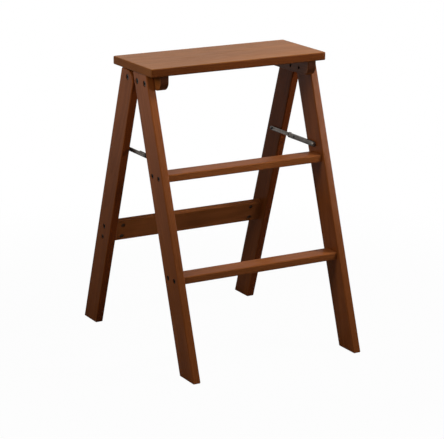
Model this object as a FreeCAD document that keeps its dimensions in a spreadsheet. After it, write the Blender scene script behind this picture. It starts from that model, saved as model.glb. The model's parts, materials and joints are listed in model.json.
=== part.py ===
"""Folding wooden step stool: a board top, two treads and a hinged rear frame.

Frame: X runs across the stool, the treads face -Y, Z is up, and the origin
is on the floor under the middle of the footprint. Lengths are millimetres.
The right-hand pieces are modelled and the left-hand ones are their mirror
images about the YZ plane.
"""
import FreeCAD, Part
import Sketcher
import math
import os
import re
from FreeCAD import Placement, Rotation, Vector

doc = FreeCAD.newDocument("FoldingStepStool")

# Driving sizes, one row of the sheet each

SIZES = {
    "overall_height": 640,
    "board_width": 430,
    "board_depth": 180,
    "board_thickness": 18,
    "board_corner_radius": 4,
    "board_edge_radius": 2.5,
    "board_overhang": 5,
    "foot_spread": 525,
    "leg_width": 58,
    "leg_thickness": 18,
    "leg_edge_radius": 2.5,
    "foot_chamfer": 1,
    "front_lean": 18.5,
    "pivot_drop": 19,
    "pivot_edge_distance": 27,
    "pivot_board_offset": 29.95,
    "folded_leg_gap": 1,
    "rear_top_gap": 2,
    "rear_top_radius": 25,
    "rear_heel_radius": 3,
    "cleat_thickness": 20,
    "cleat_height": 33,
    "cleat_setback": 4,
    "cleat_corner_radius": 20,
    "cleat_edge_radius": 1.5,
    "cleat_screw_end_distance": 26,
    "cleat_screw_middle": 8,
    "upper_tread_height": 417,
    "lower_tread_height": 211,
    "stretcher_height": 229,
    "stretcher_width": 50,
    "tread_depth": 44,
    "tread_thickness": 16,
    "tread_edge_radius": 2.5,
    "tread_bolt_spacing": 28,
    "front_bolt_drop": 20,
    "front_bolt_spacing": 34,
    "running_gap": 0.3,
    "pin_clearance": 0.05,
    "thread_clearance": 0.1,
    "counterbore_clearance": 0.5,
    "head_recess": 1,
    "bolt_shank": 6,
    "leg_bolt_head": 12,
    "leg_bolt_head_height": 4,
    "leg_bolt_length": 27,
    "pivot_shoulder": 8,
    "pivot_washer_diameter": 18,
    "pivot_washer_thickness": 0.5,
    "tread_bolt_head": 10,
    "tread_bolt_head_height": 5.5,
    "tread_bolt_length": 45,
    "socket_width": 5,
    "socket_depth": 2.5,
    "head_chamfer": 0.5,
    "sleeve_nut_diameter": 8,
    "sleeve_nut_length": 14,
    "sleeve_nut_recess": 1.5,
    "sleeve_nut_bore_depth": 10,
    "sleeve_nut_socket": 4,
    "barrel_nut_diameter": 10,
    "barrel_nut_length": 12,
    "barrel_nut_inset": 26,
    "barrel_nut_slot": 1.4,
    "stay_height": 436.5,
    "stay_front_edge_distance": 29,
    "stay_rear_edge_distance": 35,
    "stay_front_width": 11,
    "stay_rear_width": 9,
    "stay_thickness": 1.5,
    "stay_layer_gap": 0.4,
    "stay_face_clearance": 1.4,
    "stay_end_distance": 6,
    "stay_end_radius": 2.5,
    "stay_joint_advance": 10,
    "stay_tab_reach": 23.5,
    "stay_tab_length": 7,
    "stay_screw_shank": 4,
    "stay_screw_head": 7,
    "stay_screw_head_height": 2,
    "stay_screw_length": 17,
    "stay_spacer_diameter": 8,
    "pilot_hole_diameter": 2.5,
    "pilot_hole_depth": 8,
    "pilot_hole_distance": 7.2,
    "pilot_hole_drop": 3,
    "rivet_shank": 4,
    "rivet_head": 7,
    "rivet_head_height": 1.2,
    "rivet_tail_height": 1,
    "cleat_screw_shank": 4,
    "cleat_screw_head": 8,
    "cleat_screw_length": 44,
    "recess_arm": 1,
    "recess_depth": 1,
}

# Places that follow from the driving sizes

PLACES = {
    "board_underside": "overall_height - board_thickness",
    "leg_outer": "board_width / 2 - board_overhang",
    "leg_inner": "leg_outer - leg_thickness",
    "rear_leg_inner": "leg_inner + pivot_washer_thickness + running_gap",
    "rear_leg_outer": "rear_leg_inner + leg_thickness",
    "cleat_inner": "leg_inner - cleat_thickness",
    "cleat_middle": "leg_inner - cleat_thickness / 2",
    "cleat_bottom": "board_underside - cleat_height",
    "cleat_reach": "board_depth / 2 - cleat_setback",
    "foot_reach": "foot_spread / 2",
    "front_slope": "tan(front_lean)",
    "front_span": "leg_width / cos(front_lean)",
    "front_mid": "front_span / 2 - foot_reach",
    "pivot_height": "board_underside - pivot_drop",
    "pivot_depth": "front_span - foot_reach + pivot_height * front_slope"
                   " + (pivot_edge_distance + folded_leg_gap) / cos(front_lean)",
    "board_middle": "pivot_depth - pivot_board_offset",
    "rear_run": "foot_reach - pivot_depth",
    "rear_reach": "sqrt(rear_run * rear_run + pivot_height * pivot_height)",
    "rear_lean": "(atan(rear_run / pivot_height)"
                 " - asin((leg_width - pivot_edge_distance) / rear_reach)) / 1 deg",
    "rear_slope": "tan(rear_lean)",
    "rear_span": "leg_width / cos(rear_lean)",
    "rear_mid": "foot_reach - rear_span / 2",
    "rear_top": "board_underside - rear_top_gap",
    "fold_angle": "front_lean + rear_lean",
    "front_bolt_height": "board_underside - front_bolt_drop",
    "front_bolt_depth": "front_mid + front_bolt_height * front_slope",
    "upper_tread_middle": "upper_tread_height - tread_thickness / 2",
    "upper_tread_depth": "front_mid + upper_tread_middle * front_slope",
    "lower_tread_middle": "lower_tread_height - tread_thickness / 2",
    "lower_tread_depth": "front_mid + lower_tread_middle * front_slope",
    "stretcher_depth": "rear_mid - stretcher_height * rear_slope",
    "stretcher_turn": "rear_lean - 90",
    "half_spacing": "tread_bolt_spacing / 2",
    "leg_bolt_seat": "head_recess + leg_bolt_head_height",
    "tread_bolt_seat": "head_recess + tread_bolt_head_height",
    "bolt_bore": "bolt_shank + 2 * thread_clearance",
    "sleeve_nut_bore": "sleeve_nut_diameter + 2 * thread_clearance",
    "barrel_nut_bore": "barrel_nut_diameter + 2 * thread_clearance",
    "cleat_screw_bore": "cleat_screw_shank + 2 * thread_clearance",
    "stay_screw_bore": "stay_screw_shank + 2 * thread_clearance",
    "cleat_screw_reach": "cleat_reach - cleat_screw_end_distance",
    "stay_front_depth": "front_span - foot_reach + stay_height * front_slope"
                        " - stay_front_edge_distance / cos(front_lean)",
    "stay_rear_depth": "foot_reach - rear_span - stay_height * rear_slope"
                       " + stay_rear_edge_distance / cos(rear_lean)",
    "front_link_length": "(stay_rear_depth - stay_front_depth) / 2 - stay_joint_advance",
    "rear_link_length": "(stay_rear_depth - stay_front_depth) / 2 + stay_joint_advance",
    "stay_joint_depth": "stay_front_depth + front_link_length",
    "rear_link_face": "leg_inner - stay_face_clearance - stay_thickness",
    "front_link_face": "rear_link_face - stay_layer_gap - stay_thickness",
    "front_screw_seat": "front_link_face - running_gap",
    "rear_screw_seat": "rear_link_face - running_gap",
    "front_spacer_face": "front_link_face + stay_thickness + running_gap",
    "rear_spacer_face": "rear_link_face + stay_thickness + running_gap",
    "tab_underside": "stay_rear_width / 2 + running_gap",
}


def make_sheet(name, rows):
    """Add a sheet with one named cell for each row."""
    sheet = doc.addObject("Spreadsheet::Sheet", name)
    for number, (alias, content) in enumerate(rows.items(), start=1):
        cell = "B%d" % number
        sheet.set("A%d" % number, alias)
        sheet.set(cell, content)
        sheet.setAlias(cell, alias)
    doc.recompute()
    return sheet


def name_sheets(expression):
    """Put the name of its sheet before each size and place in an expression."""
    def with_sheet(match):
        word = match.group(0)
        if word in SIZES:
            return "Sizes." + word
        return "Places." + word if word in PLACES else word
    return re.sub("[a-z_]+", with_sheet, expression)


make_sheet("Sizes", {name: str(value) for name, value in SIZES.items()})
places = make_sheet("Places", {name: "=" + name_sheets(formula).replace("Places.", "")
                               for name, formula in PLACES.items()})


def value_of(expression):
    """Return the number that an expression over the sheets gives now."""
    return float(places.evalExpression(name_sheets(expression)))


def bind(item, name, expression):
    """Tie a property of an object to an expression over the sheets."""
    item.setExpression(name, name_sheets(expression))


# Sketches


def sketch_on(body, role, offset=None):
    """Attach a new sketch to an origin plane of its body, moved along its normal."""
    sketch = body.newObject("Sketcher::SketchObject", body.Name + "_sketch")
    plane = next(item for item in body.Origin.OriginFeatures if item.Role == role)
    sketch.AttachmentSupport = (plane, [""])
    sketch.MapMode = "FlatFace"
    if offset:
        bind(sketch, ".AttachmentOffset.Base.z", offset)
    return sketch


def pin_point(sketch, shape, point, x, y):
    """Hold one point of a sketch at the place that two expressions give."""
    for kind, axis, expression in (("DistanceX", -2, x), ("DistanceY", -1, y)):
        if expression == "0":
            sketch.addConstraint(Sketcher.Constraint("PointOnObject", shape, point, axis))
        else:
            held = Sketcher.Constraint(kind, -1, 1, shape, point, value_of(expression))
            bind(sketch, "Constraints[%d]" % sketch.addConstraint(held), expression)


def draw_outline(sketch, corners):
    """Draw a closed outline of straight lines through corners."""
    spots = [Vector(value_of(x), value_of(y), 0) for x, y in corners]
    following = spots[1:] + spots[:1]
    first = sketch.GeometryCount
    for start, end in zip(spots, following):
        sketch.addGeometry(Part.LineSegment(start, end))
    for index, (x, y) in enumerate(corners):
        nearby = (index + 1) % len(corners)
        sketch.addConstraint(
            Sketcher.Constraint("Coincident", first + index, 2, first + nearby, 1))
        pin_point(sketch, first + index, 1, x, y)


def draw_rectangle(sketch, left, right, bottom, top):
    """Draw a rectangle between four expressions."""
    draw_outline(sketch, [(left, bottom), (right, bottom), (right, top), (left, top)])


def draw_circle(sketch, x, y, diameter):
    """Draw a circle with its centre and diameter bound to expressions."""
    centre = Vector(value_of(x), value_of(y), 0)
    circle = Part.Circle(centre, Vector(0, 0, 1), value_of(diameter) / 2)
    index = sketch.addGeometry(circle)
    pin_point(sketch, index, 3, x, y)
    held = Sketcher.Constraint("Diameter", index, value_of(diameter))
    bind(sketch, "Constraints[%d]" % sketch.addConstraint(held), diameter)


def draw_hexagon(sketch, width):
    """Draw a regular hexagon about the sketch's origin, measured across its flats."""
    radius = width + " / sqrt(3)"
    corners = []
    for turn in range(0, 360, 60):
        corners.append(("%s * cos(%d)" % (radius, turn), "%s * sin(%d)" % (radius, turn)))
    corners[0] = (radius, "0")
    corners[3] = ("-" + radius, "0")
    draw_outline(sketch, corners)


def draw_cross(sketch, reach, arm):
    """Draw a plus sign about the sketch's origin."""
    far, near = reach + " / 2", arm + " / 2"
    back, close = "-" + far, "-" + near
    draw_outline(sketch, [(far, close), (far, near), (near, near), (near, far),
                          (close, far), (close, near), (back, near), (back, close),
                          (close, close), (close, back), (near, back), (near, close)])


def draw_slot(sketch, length, width):
    """Draw a long round-ended outline from the sketch's origin along its X axis."""
    radius = value_of(width) / 2
    far = Vector(value_of(length), 0, 0)
    up = Vector(0, radius, 0)
    quarter = math.pi / 2
    normal = Vector(0, 0, 1)
    near_end = Part.ArcOfCircle(Part.Circle(Vector(), normal, radius), quarter, 3 * quarter)
    far_end = Part.ArcOfCircle(Part.Circle(far, normal, radius), -quarter, quarter)
    sketch.addGeometry([near_end, far_end,
                        Part.LineSegment(up, far + up),
                        Part.LineSegment(Vector() - up, far - up)])
    for arc, arc_end, line, line_end in ((0, 1, 2, 1), (0, 2, 3, 1), (1, 2, 2, 2), (1, 1, 3, 2)):
        sketch.addConstraint(Sketcher.Constraint("Tangent", arc, arc_end, line, line_end))
    sketch.addConstraint(Sketcher.Constraint("Coincident", 0, 3, -1, 1))
    pin_point(sketch, 1, 3, length, "0")
    held = Sketcher.Constraint("Diameter", 0, value_of(width))
    bind(sketch, "Constraints[%d]" % sketch.addConstraint(held), width)


# Features


def new_body(label, x="0", y="0", z="0", turn=None):
    """Start a body whose placement is bound to expressions, turned about X."""
    body = doc.addObject("PartDesign::Body", label)
    place(body, x, y, z, turn)
    return body


def place(item, x, y, z, turn=None):
    """Bind the placement of an object to expressions."""
    if turn:
        item.Placement = Placement(Vector(), Rotation(Vector(1, 0, 0), value_of(turn)))
        bind(item, "Placement.Rotation.Angle", turn)
    for axis, expression in (("x", x), ("y", y), ("z", z)):
        if expression != "0":
            bind(item, "Placement.Base." + axis, expression)


def pad(body, sketch, length):
    """Raise a sketch along its normal."""
    feature = body.newObject("PartDesign::Pad", body.Name + "_pad")
    feature.Profile = sketch
    bind(feature, "Length", length)
    doc.recompute()
    return feature


def pocket(body, sketch, depth=None, upward=False):
    """Cut a sketch into its body, all the way through where no depth is given."""
    before = body.Shape.Volume
    feature = body.newObject("PartDesign::Pocket", body.Name + "_pocket")
    feature.Profile = sketch
    feature.Reversed = upward
    if depth:
        bind(feature, "Length", depth)
    else:
        feature.Type = "ThroughAll"
    doc.recompute()
    if body.Shape.Volume >= before:
        raise RuntimeError("%s cuts nothing" % feature.Name)
    return feature


def drill(body, role, offset, spots, diameter, depth=None, upward=False):
    """Cut round holes at spots, pairs of expressions in the plane of the sketch."""
    sketch = sketch_on(body, role, offset)
    for x, y in spots:
        draw_circle(sketch, x, y, diameter)
    return pocket(body, sketch, depth, upward)


def mirror_features(body, features):
    """Repeat features of a body on the other side of its YZ plane."""
    mirror = body.newObject("PartDesign::Mirrored", body.Name + "_mirrored")
    mirror.Originals = features
    plane = next(item for item in body.Origin.OriginFeatures if item.Role == "YZ_Plane")
    mirror.MirrorPlane = (plane, [""])
    body.Tip = mirror
    doc.recompute()


def revolve(body, corners, role="XY_Plane", axis="H_Axis"):
    """Turn a half section about an axis of its sketch, X where none is named."""
    sketch = sketch_on(body, role)
    draw_outline(sketch, corners)
    feature = body.newObject("PartDesign::Revolution", body.Name + "_revolution")
    feature.Profile = sketch
    feature.ReferenceAxis = (sketch, [axis])
    feature.Angle = 360
    doc.recompute()
    return feature


def finish_edges(body, kind, wanted, size):
    """Fillet or chamfer the edges of a body's last feature that pass a test."""
    base = body.Tip
    names = ["Edge%d" % number
             for number, edge in enumerate(base.Shape.Edges, start=1) if wanted(edge)]
    feature = body.newObject("PartDesign::" + kind, body.Name + "_" + kind.lower())
    feature.Base = (base, names)
    bind(feature, "Radius" if kind == "Fillet" else "Size", size)
    doc.recompute()
    return feature


def runs_along(edge, direction):
    """Tell whether an edge is straight and parallel to a direction."""
    if not isinstance(edge.Curve, Part.Line):
        return False
    return edge.tangentAt(edge.FirstParameter).cross(direction).Length < 1e-6


def lies_at(edge, axis, place_value):
    """Tell whether an edge lies in the plane across an axis (x, y or z) at a place."""
    box = edge.BoundBox
    low = getattr(box, axis.upper() + "Min")
    high = getattr(box, axis.upper() + "Max")
    return abs(low - place_value) < 1e-4 and abs(high - place_value) < 1e-4


ACROSS = Vector(1, 0, 0)
nodes = []


def keep(item, label):
    """Label an object and list it as a piece of the stool."""
    item.Label = label
    nodes.append(item)
    return item


def mirror_image(item, label=None):
    """Return the left-hand copy of a right-hand object."""
    copy = doc.addObject("Part::Mirroring", item.Name + "_mirror")
    copy.Source = item
    copy.Normal = ACROSS
    if label:
        keep(copy, label)
    return copy


def group(pattern, label, spots, turn=None):
    """Set copies of a fastener at right-hand spots and mirror them to the left."""
    links = []
    for x, y, z in spots:
        link = doc.addObject("App::Link", label + "_copy")
        link.LinkedObject = pattern
        place(link, x, y, z, turn)
        links.append(link)
    right = doc.addObject("Part::Compound", label + "_right")
    right.Links = links
    both = doc.addObject("Part::Compound", label)
    both.Links = [right, mirror_image(right)]
    return keep(both, label)


# Places of the fasteners

FRONT_BOLTS = [("front_bolt_depth - front_bolt_spacing / 2", "front_bolt_height"),
               ("front_bolt_depth + front_bolt_spacing / 2", "front_bolt_height")]
PIVOT = ("pivot_depth", "pivot_height")
UPPER_BOLTS = [("upper_tread_depth - half_spacing", "upper_tread_middle"),
               ("upper_tread_depth + half_spacing", "upper_tread_middle")]
LOWER_BOLTS = [("lower_tread_depth - half_spacing", "lower_tread_middle"),
               ("lower_tread_depth + half_spacing", "lower_tread_middle")]
STRETCHER_BOLTS = [("stretcher_depth + half_spacing * sin(rear_lean)",
                    "stretcher_height - half_spacing * cos(rear_lean)"),
                   ("stretcher_depth - half_spacing * sin(rear_lean)",
                    "stretcher_height + half_spacing * cos(rear_lean)")]
CLEAT_SCREWS = ["-cleat_screw_reach", "cleat_screw_middle", "cleat_screw_reach"]
FRONT_STAY_SCREW = ("stay_front_depth", "stay_height")
PILOT_HOLE = ("stay_front_depth - pilot_hole_distance", "stay_height - pilot_hole_drop")
REAR_STAY_SCREW = ("stay_rear_depth", "stay_height")
LEG_HEAD_BORE = "leg_bolt_head + 2 * counterbore_clearance"
TREAD_HEAD_BORE = "tread_bolt_head + 2 * counterbore_clearance"


# Wooden pieces


def make_top_board():
    """The board that is stood and sat on, rounded in plan and along its edges."""
    body = new_body("top_board", y="board_middle", z="board_underside")
    sketch = sketch_on(body, "XY_Plane")
    draw_rectangle(sketch, "-board_width / 2", "board_width / 2",
                   "-board_depth / 2", "board_depth / 2")
    pad(body, sketch, "board_thickness")
    finish_edges(body, "Fillet", lambda edge: runs_along(edge, Vector(0, 0, 1)),
                 "board_corner_radius")
    thickness = value_of("board_thickness")
    finish_edges(body, "Fillet",
                 lambda edge: lies_at(edge, "z", 0) or lies_at(edge, "z", thickness),
                 "board_edge_radius")
    spots = [("cleat_middle", y) for y in CLEAT_SCREWS]
    pilots = drill(body, "XY_Plane", None, spots, "cleat_screw_bore",
                   "cleat_screw_length - cleat_height + 2 * running_gap", upward=True)
    mirror_features(body, [pilots])
    keep(body, "top_board")


def make_cleat():
    """A batten under the board, with its lower corners rounded off."""
    body = new_body("cleat_right", "cleat_inner", "board_middle", "cleat_bottom")
    sketch = sketch_on(body, "YZ_Plane")
    draw_rectangle(sketch, "-cleat_reach", "cleat_reach", "0", "cleat_height")
    pad(body, sketch, "cleat_thickness")
    finish_edges(body, "Fillet",
                 lambda edge: runs_along(edge, ACROSS) and lies_at(edge, "z", 0),
                 "cleat_corner_radius")
    height = value_of("cleat_height")
    thickness = value_of("cleat_thickness")
    finish_edges(body, "Fillet",
                 lambda edge: (lies_at(edge, "x", 0) or lies_at(edge, "x", thickness))
                 and not lies_at(edge, "z", height),
                 "cleat_edge_radius")
    bolts = [(y + " - board_middle", z + " - cleat_bottom") for y, z in FRONT_BOLTS + [PIVOT]]
    drill(body, "YZ_Plane", "cleat_thickness", bolts, "bolt_bore")
    drill(body, "YZ_Plane", None, bolts, "sleeve_nut_bore",
          "sleeve_nut_recess + sleeve_nut_length", upward=True)
    screws = [("cleat_thickness / 2", y) for y in CLEAT_SCREWS]
    drill(body, "XY_Plane", None, screws, "cleat_screw_bore", upward=True)
    finish_edges(body, "Chamfer",
                 lambda edge: isinstance(edge.Curve, Part.Circle) and lies_at(edge, "z", 0),
                 "(cleat_screw_head - cleat_screw_shank) / 2")
    keep(body, "cleat_right")
    mirror_image(body, "cleat_left")


def finish_leg(body, inner, outer):
    """Round a leg's long edges and break the edges of its foot."""
    finish_edges(body, "Fillet",
                 lambda edge: (lies_at(edge, "x", inner) or lies_at(edge, "x", outer))
                 and edge.BoundBox.ZLength > 1,
                 "leg_edge_radius")
    finish_edges(body, "Chamfer", lambda edge: lies_at(edge, "z", 0), "foot_chamfer")


def make_front_leg():
    """A straight leg that runs from the floor up to the board, bolted to the cleat."""
    body = new_body("front_leg_right")
    sketch = sketch_on(body, "YZ_Plane", "leg_inner")
    rise = " + board_underside * front_slope"
    draw_outline(sketch, [("-foot_reach", "0"),
                          ("front_span - foot_reach", "0"),
                          ("front_span - foot_reach" + rise, "board_underside"),
                          ("-foot_reach" + rise, "board_underside")])
    pad(body, sketch, "leg_thickness")
    finish_leg(body, value_of("leg_inner"), value_of("leg_outer"))
    treads = UPPER_BOLTS + LOWER_BOLTS
    drill(body, "YZ_Plane", "leg_outer", FRONT_BOLTS, LEG_HEAD_BORE, "leg_bolt_seat")
    drill(body, "YZ_Plane", "leg_outer", treads, TREAD_HEAD_BORE, "tread_bolt_seat")
    drill(body, "YZ_Plane", "leg_outer", FRONT_BOLTS + treads, "bolt_bore")
    drill(body, "YZ_Plane", "leg_inner", [FRONT_STAY_SCREW], "stay_screw_bore",
          "front_screw_seat + stay_screw_length + running_gap - leg_inner",
          upward=True)
    drill(body, "YZ_Plane", "leg_inner", [PILOT_HOLE], "pilot_hole_diameter",
          "pilot_hole_depth", upward=True)
    keep(body, "front_leg_right")
    mirror_image(body, "front_leg_left")


def make_rear_leg():
    """A leg that swings on the pivot bolt, with its top corner rounded to clear the board."""
    body = new_body("rear_leg_right")
    sketch = sketch_on(body, "YZ_Plane", "rear_leg_inner")
    rise = " - rear_top * rear_slope"
    draw_outline(sketch, [("foot_reach - rear_span", "0"),
                          ("foot_reach", "0"),
                          ("foot_reach" + rise, "rear_top"),
                          ("foot_reach - rear_span" + rise, "rear_top")])
    pad(body, sketch, "leg_thickness")
    top = value_of("rear_top")
    middle = value_of("pivot_depth")
    for size, front in (("rear_top_radius", True), ("rear_heel_radius", False)):
        finish_edges(body, "Fillet",
                     lambda edge: runs_along(edge, ACROSS) and lies_at(edge, "z", top)
                     and (edge.CenterOfMass.y < middle) == front,
                     size)
    finish_leg(body, value_of("rear_leg_inner"), value_of("rear_leg_outer"))
    drill(body, "YZ_Plane", "rear_leg_outer", [PIVOT], LEG_HEAD_BORE,
          "leg_bolt_seat + running_gap")
    drill(body, "YZ_Plane", "rear_leg_outer", [PIVOT],
          "pivot_shoulder + 2 * pin_clearance")
    drill(body, "YZ_Plane", "rear_leg_outer", STRETCHER_BOLTS, TREAD_HEAD_BORE,
          "tread_bolt_seat")
    drill(body, "YZ_Plane", "rear_leg_outer", STRETCHER_BOLTS, "bolt_bore")
    drill(body, "YZ_Plane", "rear_leg_inner", [REAR_STAY_SCREW], "stay_screw_bore",
          "rear_screw_seat + stay_screw_length + running_gap - rear_leg_inner",
          upward=True)
    keep(body, "rear_leg_right")
    mirror_image(body, "rear_leg_left")


def make_cross_board(label, width, end, y, z, turn=None):
    """A tread or the stretcher: one section of board, bored at both ends."""
    body = new_body(label, y=y, z=z, turn=turn)
    sketch = sketch_on(body, "YZ_Plane", "-" + end)
    draw_rectangle(sketch, "-%s / 2" % width, width + " / 2",
                   "-tread_thickness / 2", "tread_thickness / 2")
    pad(body, sketch, "2 * " + end)
    finish_edges(body, "Fillet", lambda edge: runs_along(edge, ACROSS), "tread_edge_radius")
    bolts = [("-half_spacing", "0"), ("half_spacing", "0")]
    nuts = [("%s - barrel_nut_inset" % end, side + "half_spacing") for side in ("-", "")]
    bores = drill(body, "YZ_Plane", end, bolts, "bolt_bore",
                  "barrel_nut_inset + barrel_nut_diameter")
    wells = drill(body, "XY_Plane", "-tread_thickness / 2", nuts, "barrel_nut_bore",
                  "(tread_thickness + barrel_nut_length) / 2", upward=True)
    mirror_features(body, [bores, wells])
    keep(body, label)


# Fasteners


def make_bolt(label, head, head_height, length):
    """A socket-head bolt along X, with the top of its head at the origin."""
    body = new_body(label)
    revolve(body, [("0", "0"),
                   ("0", head + " / 2 - head_chamfer"),
                   ("-head_chamfer", head + " / 2"),
                   ("-" + head_height, head + " / 2"),
                   ("-" + head_height, "bolt_shank / 2"),
                   ("-%s - %s" % (head_height, length), "bolt_shank / 2"),
                   ("-%s - %s" % (head_height, length), "0")])
    sketch = sketch_on(body, "YZ_Plane")
    draw_hexagon(sketch, "socket_width")
    pocket(body, sketch, "socket_depth")
    return body


def make_pivot_bolt():
    """The hinge pin of a rear leg: a bolt with a plain shoulder that the leg turns on."""
    body = new_body("pivot_bolt_right", "rear_leg_outer - head_recess", *PIVOT)
    shoulder_end = "leg_inner - rear_leg_outer + head_recess"
    thread_end = "leg_outer - leg_bolt_seat - leg_bolt_length" \
                 " - rear_leg_outer + head_recess"
    revolve(body, [("0", "0"),
                   ("0", "leg_bolt_head / 2 - head_chamfer"),
                   ("-head_chamfer", "leg_bolt_head / 2"),
                   ("-leg_bolt_head_height", "leg_bolt_head / 2"),
                   ("-leg_bolt_head_height", "pivot_shoulder / 2"),
                   (shoulder_end, "pivot_shoulder / 2"),
                   (shoulder_end, "bolt_shank / 2"),
                   (thread_end, "bolt_shank / 2"),
                   (thread_end, "0")])
    sketch = sketch_on(body, "YZ_Plane")
    draw_hexagon(sketch, "socket_width")
    pocket(body, sketch, "socket_depth")
    keep(body, "pivot_bolt_right")
    mirror_image(body, "pivot_bolt_left")


def make_sleeve_nut(label):
    """A closed sleeve nut along X, with its socket at the origin and facing -X."""
    body = new_body(label)
    mouth = "sleeve_nut_length"
    floor = "sleeve_nut_length - sleeve_nut_bore_depth"
    revolve(body, [("0", "0"),
                   ("0", "sleeve_nut_diameter / 2"),
                   (mouth, "sleeve_nut_diameter / 2"),
                   (mouth, "bolt_bore / 2"),
                   (floor, "bolt_bore / 2"),
                   (floor, "0")])
    sketch = sketch_on(body, "YZ_Plane")
    draw_hexagon(sketch, "sleeve_nut_socket")
    pocket(body, sketch, "socket_depth", upward=True)
    return body


def make_barrel_nut(label):
    """A cross dowel along Z, tapped through its middle and slotted at its lower end."""
    body = new_body(label)
    sketch = sketch_on(body, "XY_Plane", "-barrel_nut_length / 2")
    draw_circle(sketch, "0", "0", "barrel_nut_diameter")
    pad(body, sketch, "barrel_nut_length")
    drill(body, "YZ_Plane", "barrel_nut_diameter", [("0", "0")], "bolt_bore")
    sketch = sketch_on(body, "XY_Plane", "-barrel_nut_length / 2")
    draw_rectangle(sketch, "-barrel_nut_diameter", "barrel_nut_diameter",
                   "-barrel_nut_slot / 2", "barrel_nut_slot / 2")
    pocket(body, sketch, "barrel_nut_slot", upward=True)
    return body


def make_pivot_washer():
    """The washer that keeps a rear leg off the cleat."""
    body = new_body("pivot_washer_right", "leg_inner", *PIVOT)
    sketch = sketch_on(body, "YZ_Plane")
    draw_circle(sketch, "0", "0", "pivot_washer_diameter")
    draw_circle(sketch, "0", "0", "pivot_shoulder + 2 * thread_clearance")
    pad(body, sketch, "pivot_washer_thickness")
    keep(body, "pivot_washer_right")
    mirror_image(body, "pivot_washer_left")


def make_cleat_screw(label):
    """A countersunk wood screw along Z, with its head at the origin and facing down."""
    body = new_body(label)
    revolve(body, [("0", "0"),
                   ("cleat_screw_head / 2", "0"),
                   ("cleat_screw_shank / 2", "(cleat_screw_head - cleat_screw_shank) / 2"),
                   ("cleat_screw_shank / 2", "cleat_screw_length - cleat_screw_shank"),
                   ("0", "cleat_screw_length")], "XZ_Plane", "V_Axis")
    sketch = sketch_on(body, "XY_Plane")
    draw_cross(sketch, "cleat_screw_shank", "recess_arm")
    pocket(body, sketch, "recess_depth", upward=True)
    return body


# Folding stays


def make_front_link():
    """The stay's front link: square at the leg, with a bent tab beyond the joint."""
    body = new_body("stay_front_link_right", "front_link_face", *FRONT_STAY_SCREW)
    sketch = sketch_on(body, "YZ_Plane")
    draw_rectangle(sketch, "-stay_end_distance", "front_link_length + stay_tab_reach",
                   "-stay_front_width / 2", "stay_front_width / 2")
    pad(body, sketch, "stay_thickness")
    finish_edges(body, "Fillet", lambda edge: runs_along(edge, ACROSS), "stay_end_radius")
    sketch = sketch_on(body, "YZ_Plane")
    draw_rectangle(sketch,
                   "front_link_length + stay_tab_reach - stay_end_radius - stay_tab_length",
                   "front_link_length + stay_tab_reach - stay_end_radius",
                   "tab_underside", "tab_underside + stay_thickness")
    pad(body, sketch, "2 * stay_thickness + stay_layer_gap")
    spots = [("0", "0"), ("front_link_length", "0")]
    drill(body, "YZ_Plane", "stay_thickness", spots,
          "stay_screw_shank + 2 * pin_clearance")
    keep(body, "stay_front_link_right")
    mirror_image(body, "stay_front_link_left")


def make_rear_link():
    """The stay's rear link: a flat bar with round ends, nearest the leg."""
    body = new_body("stay_rear_link_right", "rear_link_face",
                    "stay_joint_depth", "stay_height")
    sketch = sketch_on(body, "YZ_Plane")
    draw_slot(sketch, "rear_link_length", "stay_rear_width")
    pad(body, sketch, "stay_thickness")
    spots = [("0", "0"), ("rear_link_length", "0")]
    drill(body, "YZ_Plane", "stay_thickness", spots,
          "stay_screw_shank + 2 * pin_clearance")
    keep(body, "stay_rear_link_right")
    mirror_image(body, "stay_rear_link_left")


def make_stay_screw(label):
    """A pan-head screw along X, with the underside of its head at the origin."""
    body = new_body(label)
    revolve(body, [("-stay_screw_head_height", "0"),
                   ("-stay_screw_head_height", "stay_screw_head / 2 - head_chamfer"),
                   ("head_chamfer - stay_screw_head_height", "stay_screw_head / 2"),
                   ("0", "stay_screw_head / 2"),
                   ("0", "stay_screw_shank / 2"),
                   ("stay_screw_length - stay_screw_shank / 2", "stay_screw_shank / 2"),
                   ("stay_screw_length", "0")])
    sketch = sketch_on(body, "YZ_Plane", "-stay_screw_head_height")
    draw_cross(sketch, "stay_screw_shank", "recess_arm")
    pocket(body, sketch, "recess_depth", upward=True)
    return body


def make_spacer(label, face, leg_face):
    """A tube round a stay screw, from the leg to the running face of the link."""
    body = new_body(label)
    sketch = sketch_on(body, "YZ_Plane")
    draw_circle(sketch, "0", "0", "stay_spacer_diameter")
    draw_circle(sketch, "0", "0", "stay_screw_bore")
    pad(body, sketch, "%s - %s" % (leg_face, face))
    return body


def make_rivet_half(label, face, outward, inward, head, height):
    """Half of a stay's rivet: a head on one face of a link and a shank in its bore."""
    body = new_body(label + "_right", face, "stay_joint_depth", "stay_height")
    crown = "%s(%s)" % (outward, height)
    brow = "%s(%s - head_chamfer)" % (outward, height)
    tip = inward + "stay_thickness"
    revolve(body, [(crown, "0"),
                   (crown, head + " / 2 - head_chamfer"),
                   (brow, head + " / 2"),
                   ("0", head + " / 2"),
                   ("0", "rivet_shank / 2"),
                   (tip, "rivet_shank / 2"),
                   (tip, "0")])
    keep(body, label + "_right")
    mirror_image(body, label + "_left")


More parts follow.
